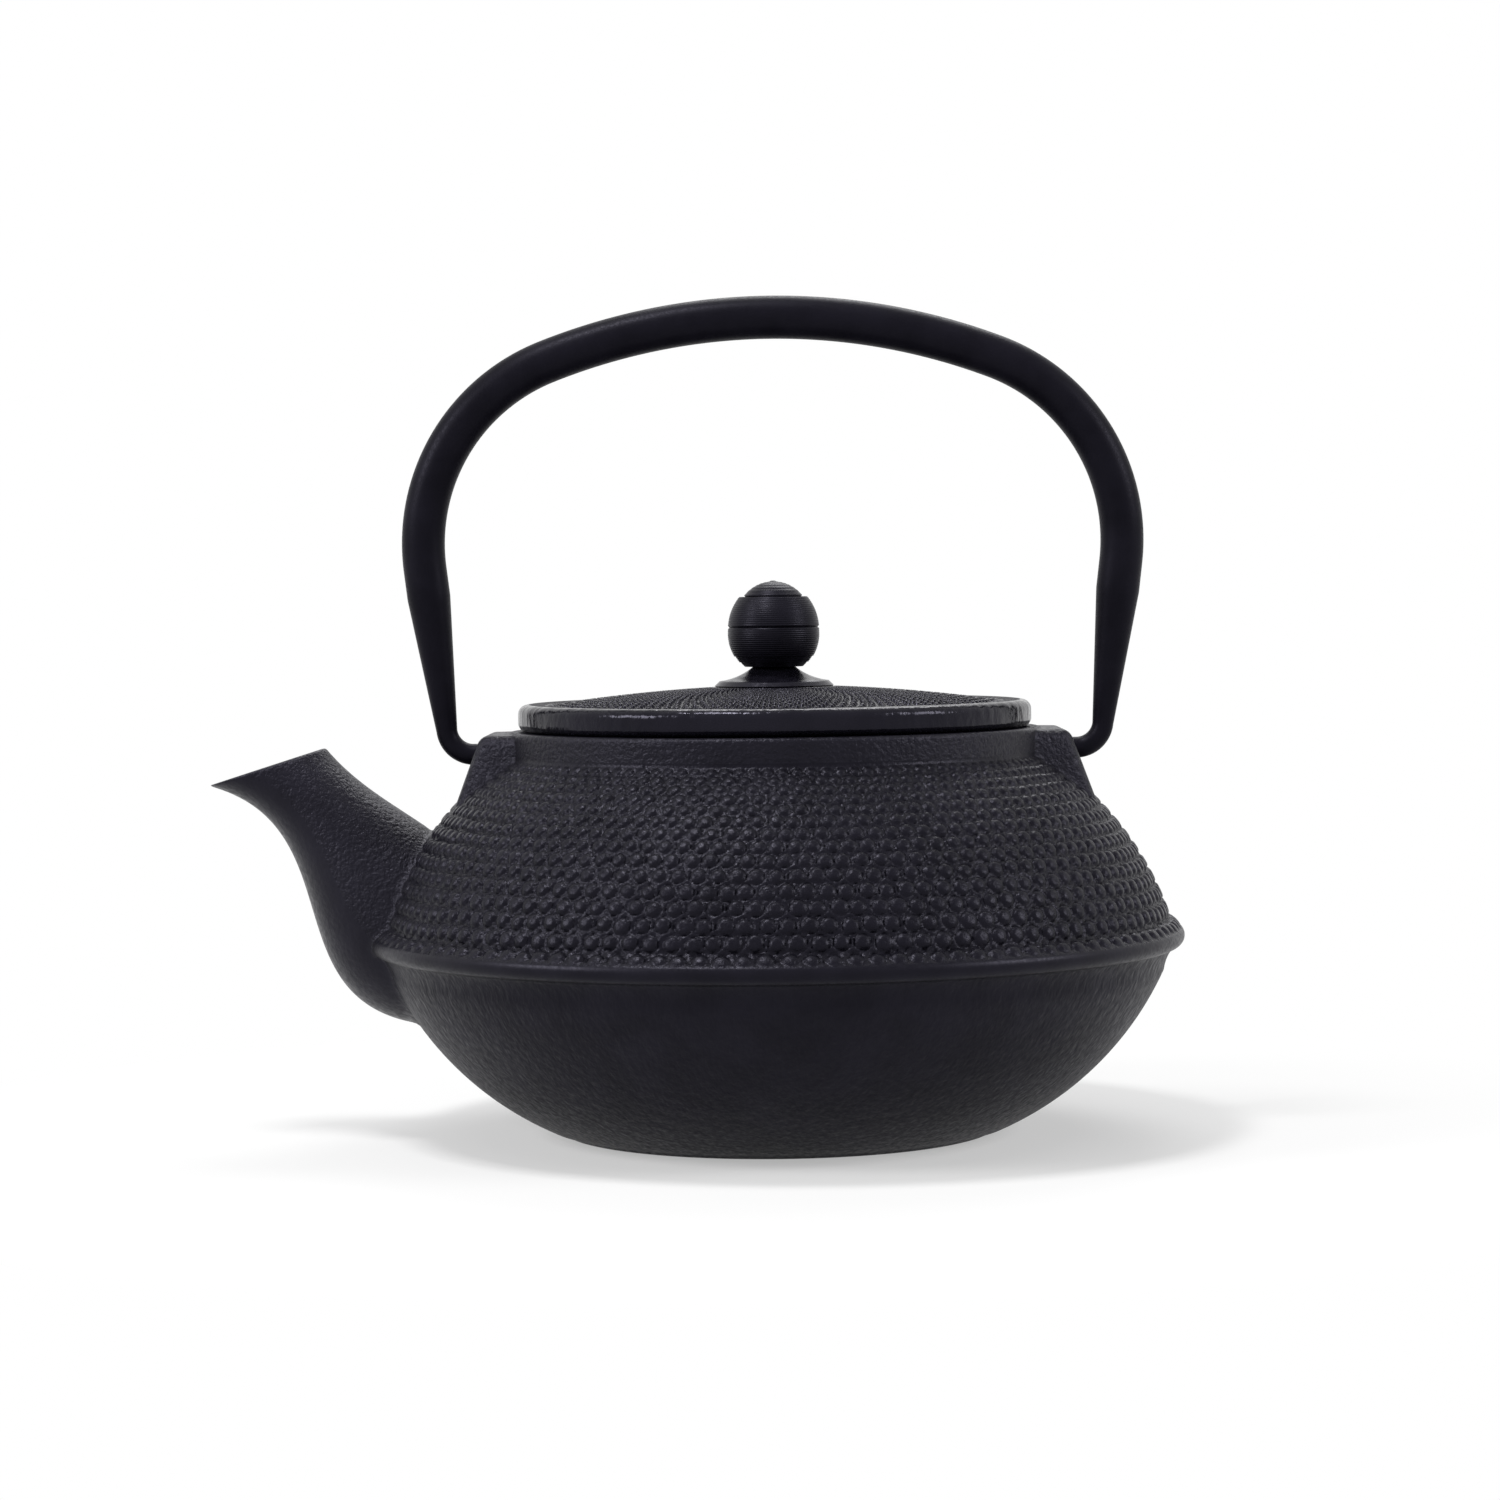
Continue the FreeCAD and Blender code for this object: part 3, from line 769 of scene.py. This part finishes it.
def build_bail():
    """Tube bail with drawn-down hooked ends."""
    half, half_radii = bail_path()
    path = np.concatenate([half[::-1] * np.array([-1, 1]), half[1:]])
    radii = np.concatenate([half_radii[::-1], half_radii[1:]])
    tangent = np.gradient(path, axis=0)
    tangent /= np.linalg.norm(tangent, axis=1)[:, None]
    angles = np.arange(bail_sides) * TAU / bail_sides
    rings = []
    for point, way, radius in zip(path, tangent, radii):
        x = point[0] - way[1] * radius * np.cos(angles)
        z = point[1] + way[0] * radius * np.cos(angles)
        rings.append(np.stack([x, radius * np.sin(angles), z], 1))
    bail = grid_piece("bail", np.array(rings), [bail_paint], capped=True)
    crease(bail, cast_crease)
    return bail


# Lid and knob

def lid_inside():
    """Outline from the bolt's hole along the lid's underside to the outer edge of the skirt's foot."""
    round_height = skirt_foot + skirt_round
    return joined(
        [(bolt_hole, lid_top), (bolt_hole, lid_underside)],
        line_points((bolt_hole, lid_underside), (lid_boss_radius, lid_underside), count=3),
        arc_points((lid_boss_radius, lid_underside), (skirt_bore, lid_plate_edge), -lid_bulge, count=12),
        line_points((skirt_bore, lid_plate_edge), (skirt_bore, round_height), count=4),
        circle_points((skirt_bore + skirt_round, round_height), skirt_round, 180, 270, count=4),
        circle_points((skirt_radius - skirt_round, round_height), skirt_round, -90, 0, count=4))


def lid_edge():
    """Outline of the lid's seat and its rounded rim."""
    undercut_foot = (lid_radius - lid_undercut, lid_seat)
    undercut_top = (lid_radius, lid_seat + lid_undercut)
    round_foot = lid_rim_top - lid_rim_round
    return joined(
        line_points((skirt_radius, lid_seat), undercut_foot, count=4),
        arc_points(undercut_foot, undercut_top, lid_undercut_bulge, count=8),
        line_points(undercut_top, (lid_radius, round_foot), count=5),
        circle_points((lid_radius - lid_rim_round, round_foot), lid_rim_round, 0, 90, count=10))


def build_lid():
    """Lid with a glossy rounded rim, a smooth border and rings of hobnails."""
    nails = lid_nails
    field_edge = lid_radius - lid_border
    rim_end = (lid_radius - lid_rim_round, lid_rim_top)
    crown = arc_points(rim_end, (lid_pad_radius, lid_top), lid_bulge, count=400)
    field_radii = np.geomspace(field_edge, lid_pad_radius, nails["rows"] * nails["row_samples"])
    dip = lid_border_dip * ((field_radii - lid_pad_radius) / (field_edge - lid_pad_radius)) ** 2
    field_heights = np.interp(field_radii, crown[::-1, 0], crown[::-1, 1]) - dip
    border = arc_points(rim_end, (field_edge, field_heights[0]), lid_border_bulge, count=12)[1:-1]
    nailed = nailed_rings(np.stack([field_radii, field_heights], 1), nails)
    below, edge = lid_inside(), lid_edge()
    plain = np.concatenate([below, edge, border])
    grid = ring_grid(plain_rings(plain, nailed[0].shape[1]), nailed)
    kinds = np.repeat([LID_INSIDE, LID_RIM, LID_BORDER, LID_NAILS],
                      [len(below), len(edge), len(border), len(field_radii)])
    lid = grid_piece("lid_cover", grid, lid_materials, kinds)
    crease(lid, lid_crease)
    return lid


def build_seat():
    """Flared washer under the ball, with softened edges."""
    flare_foot = (seat_radius - seat_chamfer, lid_top + seat_edge)
    outline = joined(
        [(bolt_hole, lid_top), (seat_radius - seat_edge_round, lid_top)],
        [(seat_radius, lid_top + seat_edge_round)],
        [(flare_foot[0] + seat_edge_round, flare_foot[1] - seat_edge_round)],
        arc_points(flare_foot, (seat_neck, ball_foot), -seat_hollow, count=18),
        [(bolt_hole, ball_foot)])
    seat = turned_piece("knob_cone", outline, seat_sides, [seat_paint])
    crease(seat, cast_crease)
    return seat


def turning_marks(places, pitch):
    """Depth of the fine grooves that turning leaves."""
    return turning_depth * (1 - np.cos(places * TAU / pitch)) / 2


def tool_marked(outline):
    """The outline with fine grooves from turning, all cut inwards."""
    marked = outline.copy()
    marked[:, 0] -= turning_marks(outline[:, 1], turning_pitch)
    return marked


def build_ball():
    """Turned ball with stepped rings at its foot, fine tool marks and a groove round its middle."""
    low_rim = (ball_radius, ball_middle - ball_groove)
    high_rim = (ball_radius, ball_middle + ball_groove)
    low = arc_points((ball_foot_radius, ball_foot), low_rim, ball_low_bulge, count=160)
    for step in ball_step_heights:
        low[low[:, 1] < ball_foot + step, 0] -= ball_step_depth
    high = arc_points(high_rim, (ball_top_radius, ball_top), ball_high_bulge, count=110)
    outline = joined(
        [(bolt_hole, ball_foot), (seat_neck, ball_foot)],
        tool_marked(low),
        [(ball_radius - ball_groove, ball_middle)],
        tool_marked(high),
        [(ball_top_radius - ball_top_edge, ball_top), (bolt_hole, ball_top)])
    ball = turned_piece("knob_sphere", outline, ball_sides, [knob_paint])
    crease(ball, turned_crease)
    return ball


def build_bolt():
    """Bolt with a domed cap that has turned rings and a small point on top."""
    rise = cap_height - cap_edge
    cap_tip = ball_top + cap_height
    dome = (cap_radius ** 2 + rise ** 2) / (2 * rise)
    dome_middle = cap_tip - dome - cap_dome_drop
    half = math.degrees(math.asin(cap_radius / dome))
    last = math.degrees(math.acos(cap_point_radius / dome))
    top = circle_points((0, dome_middle), dome, 90 - half, last, count=90)
    top[:, 1] -= turning_marks(top[:, 0], 2 * turning_pitch)
    outline = joined(
        [(bolt_core, bolt_tip), (bolt_radius - bolt_chamfer, bolt_tip)],
        [(bolt_radius, bolt_tip + bolt_chamfer), (bolt_radius, ball_top)],
        [(cap_radius - cap_chamfer, ball_top), (cap_radius, ball_top + cap_dome_drop)],
        top,
        [(cap_point_neck, cap_tip - cap_point_rise), (cap_point_end, cap_tip)])
    bolt = turned_piece("knob_cap", outline, bolt_sides, [knob_paint], capped=True)
    crease(bolt, turned_crease)
    return bolt


# Assembly: pieces with the node they replace, their body and their slot, and the nodes that stay

for build, node, body, slot in [
        (build_casting, "pot_body", "pot", "casting"),
        (build_bail, "bail_handle", "bail", "bail"),
        (build_lid, "lid", "lid", "casting"),
        (build_seat, "knob_seat", "lid", "knob"),
        (build_ball, "knob_ball", "lid", "knob"),
        (build_bolt, "knob_bolt", "lid", "knob")]:
    piece = build()
    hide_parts(node)
    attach(piece, body)
for node, material in [
        ("lid_washer", nut_steel),
        ("lid_nut", nut_steel),
        ("strainer_rim", bright_steel),
        ("strainer_wall", bright_steel),
        ("strainer_base", bright_steel)]:
    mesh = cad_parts[node].data
    mesh.materials.clear()
    mesh.materials.append(material)


# Studio

def seen_share(tree):
    """1 for what the camera sees directly, in a mirror or through glass, and 0 for what only lights."""
    rays = tree.nodes.new("ShaderNodeLightPath")
    seen = rays.outputs["Is Camera Ray"]
    for name in ("Is Glossy Ray", "Is Transmission Ray"):
        most = tree.nodes.new("ShaderNodeMath")
        most.operation = "MAXIMUM"
        tree.links.new(seen, most.inputs[0])
        tree.links.new(rays.outputs[name], most.inputs[1])
        seen = most.outputs["Value"]
    return seen


def white_ground():
    """Pale floor that keeps the shadow near the pot and fades into the white background farther out."""
    bpy.ops.mesh.primitive_plane_add(size=floor_size, location=(0, 0, -floor_drop))
    ground = bpy.context.object
    ground.name = "floor"
    material, tree, shader, add = nodes_of("pale_floor")
    shader.inputs["Base Color"].default_value = floor_grey
    shader.inputs["Roughness"].default_value = floor_roughness
    place = add("ShaderNodeTexCoord")
    away = add("ShaderNodeVectorMath", operation="LENGTH")
    fade = add("ShaderNodeMapRange")
    fade.inputs["From Min"].default_value = floor_fade_from
    fade.inputs["From Max"].default_value = floor_fade_to
    fade.inputs["To Min"].default_value = floor_glow_near
    share = add("ShaderNodeMath", operation="MULTIPLY")
    glow = add("ShaderNodeEmission", Strength=1.0)
    mix = add("ShaderNodeMixShader")
    tree.links.new(place.outputs["Object"], away.inputs[0])
    tree.links.new(away.outputs["Value"], fade.inputs["Value"])
    tree.links.new(seen_share(tree), share.inputs[0])
    tree.links.new(fade.outputs["Result"], share.inputs[1])
    tree.links.new(share.outputs["Value"], mix.inputs["Fac"])
    tree.links.new(shader.outputs["BSDF"], mix.inputs[1])
    tree.links.new(glow.outputs["Emission"], mix.inputs[2])
    tree.links.new(mix.outputs["Shader"], tree.nodes["Material Output"].inputs["Surface"])
    ground.data.materials.append(material)


def white_world():
    """White surroundings for what is seen or mirrored, with a lower level as light."""
    world = bpy.data.worlds.new("studio")
    bpy.context.scene.world = world
    world.use_nodes = True
    tree = world.node_tree
    back = tree.nodes["Background"]
    back.inputs["Color"].default_value = (1, 1, 1, 1)
    level = tree.nodes.new("ShaderNodeMapRange")
    level.inputs["To Min"].default_value = world_light
    level.inputs["To Max"].default_value = 1.0
    tree.links.new(seen_share(tree), level.inputs["Value"])
    tree.links.new(level.outputs["Result"], back.inputs["Strength"])


def softbox(name, place, size, power):
    """Square lamp aimed at the pot."""
    lamp = bpy.data.lights.new(name, "AREA")
    lamp.size = size
    lamp.energy = power
    box = bpy.data.objects.new(name, lamp)
    box.location = place
    aim = Vector(lamp_aim) - Vector(place)
    box.rotation_euler = aim.to_track_quat("-Z", "Y").to_euler()
    bpy.context.scene.collection.objects.link(box)


def photo_camera():
    """Camera at the photograph's place, as read from the outline: distance, height, aim and tilt."""
    image_size = 1500
    axis_column = 775.0
    horizon_row = 592.0
    focal_pixels = 3903.0
    distance = 0.8
    height = 0.1105
    roll = math.radians(-0.7)
    camera = bpy.data.cameras.new("photo")
    camera.sensor_width = 36
    camera.lens = focal_pixels / image_size * camera.sensor_width
    pitch = math.atan((image_size / 2 - horizon_row) / focal_pixels)
    yaw = math.atan((axis_column - image_size / 2) / focal_pixels)
    stand = bpy.data.objects.new("photo", camera)
    stand.matrix_world = (Matrix.Translation((0, -distance, height)) @ Matrix.Rotation(yaw, 4, "Z")
                          @ Matrix.Rotation(math.pi / 2 - pitch, 4, "X") @ Matrix.Rotation(roll, 4, "Z"))
    bpy.context.scene.collection.objects.link(stand)
    bpy.context.scene.camera = stand


white_ground()
white_world()
for lamp in lamps:
    softbox(*lamp)
photo_camera()
bpy.context.scene.view_settings.view_transform = "Standard"
